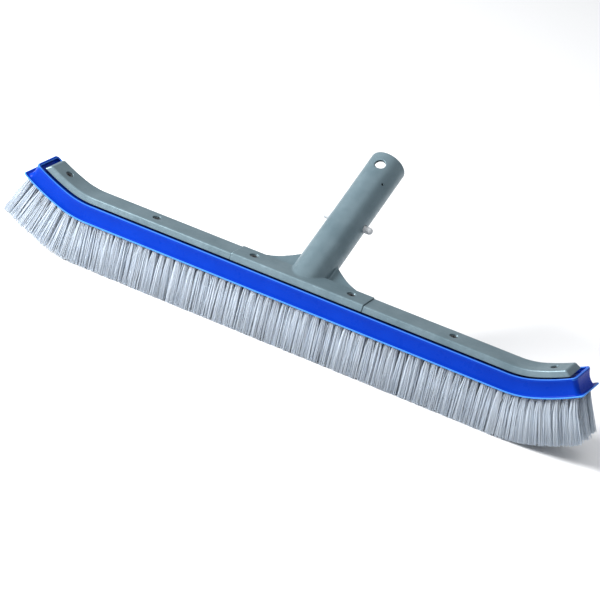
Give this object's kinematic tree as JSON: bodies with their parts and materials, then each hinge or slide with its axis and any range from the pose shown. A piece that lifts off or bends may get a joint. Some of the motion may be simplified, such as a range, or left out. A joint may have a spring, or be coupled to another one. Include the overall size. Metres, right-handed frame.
{
  "type": "pool wall brush",
  "caption": "Wide pool wall brush with curved-up ends, bristle rows in a plastic block, cast back arms and a tilted hollow handle socket with snap buttons.",
  "frame": {"origin": "on the plane of the bristle tips, under the middle of the block", "axes": "+X along the brush, +Y to the side the handle leans to, +Z from the bristle tips up to the handle"},
  "size_m": [0.5348, 0.1558, 0.133],
  "materials": {
    "blue_plastic": "gloss",
    "grey_casting": "satin",
    "screw_steel": "satin",
    "white_plastic": "satin",
    "spring_steel": "satin",
    "nylon_bristle": "matte",
    "anchor_wire": "satin"
  },
  "bodies": {
    "head": {"brush_block": "blue_plastic", "handle_bracket": "grey_casting", "left_back_arm": "grey_casting", "right_back_arm": "grey_casting", "screw_left_outer": "screw_steel", "screw_left_middle": "screw_steel", "screw_left_inner": "screw_steel", "screw_right_inner": "screw_steel", "screw_right_middle": "screw_steel", "screw_right_outer": "screw_steel", "clip_spring": "spring_steel", "bristle_row_1": "nylon_bristle", "bristle_row_2": "nylon_bristle", "bristle_row_3": "nylon_bristle", "bristle_row_4": "nylon_bristle", "bristle_row_5": "nylon_bristle", "tuft_anchors_1": "anchor_wire", "tuft_anchors_2": "anchor_wire", "tuft_anchors_3": "anchor_wire", "tuft_anchors_4": "anchor_wire", "tuft_anchors_5": "anchor_wire"},
    "left_button": {"left_clip_button": "white_plastic"},
    "right_button": {"right_clip_button": "white_plastic"}
  },
  "joints": [
    {"name": "left_button_press", "type": "slide", "parent": "head", "child": "left_button", "axis": [1, 0, 0], "range_m": [0, 0.0073], "stiffness_N_per_m": 800, "springref_m": -0.003, "deforming": ["clip_spring"]},
    {"name": "right_button_press", "type": "slide", "parent": "head", "child": "right_button", "axis": [-1, 0, 0], "range_m": [0, 0.0073], "stiffness_N_per_m": 800, "springref_m": -0.003, "deforming": ["clip_spring"]}
  ]
}
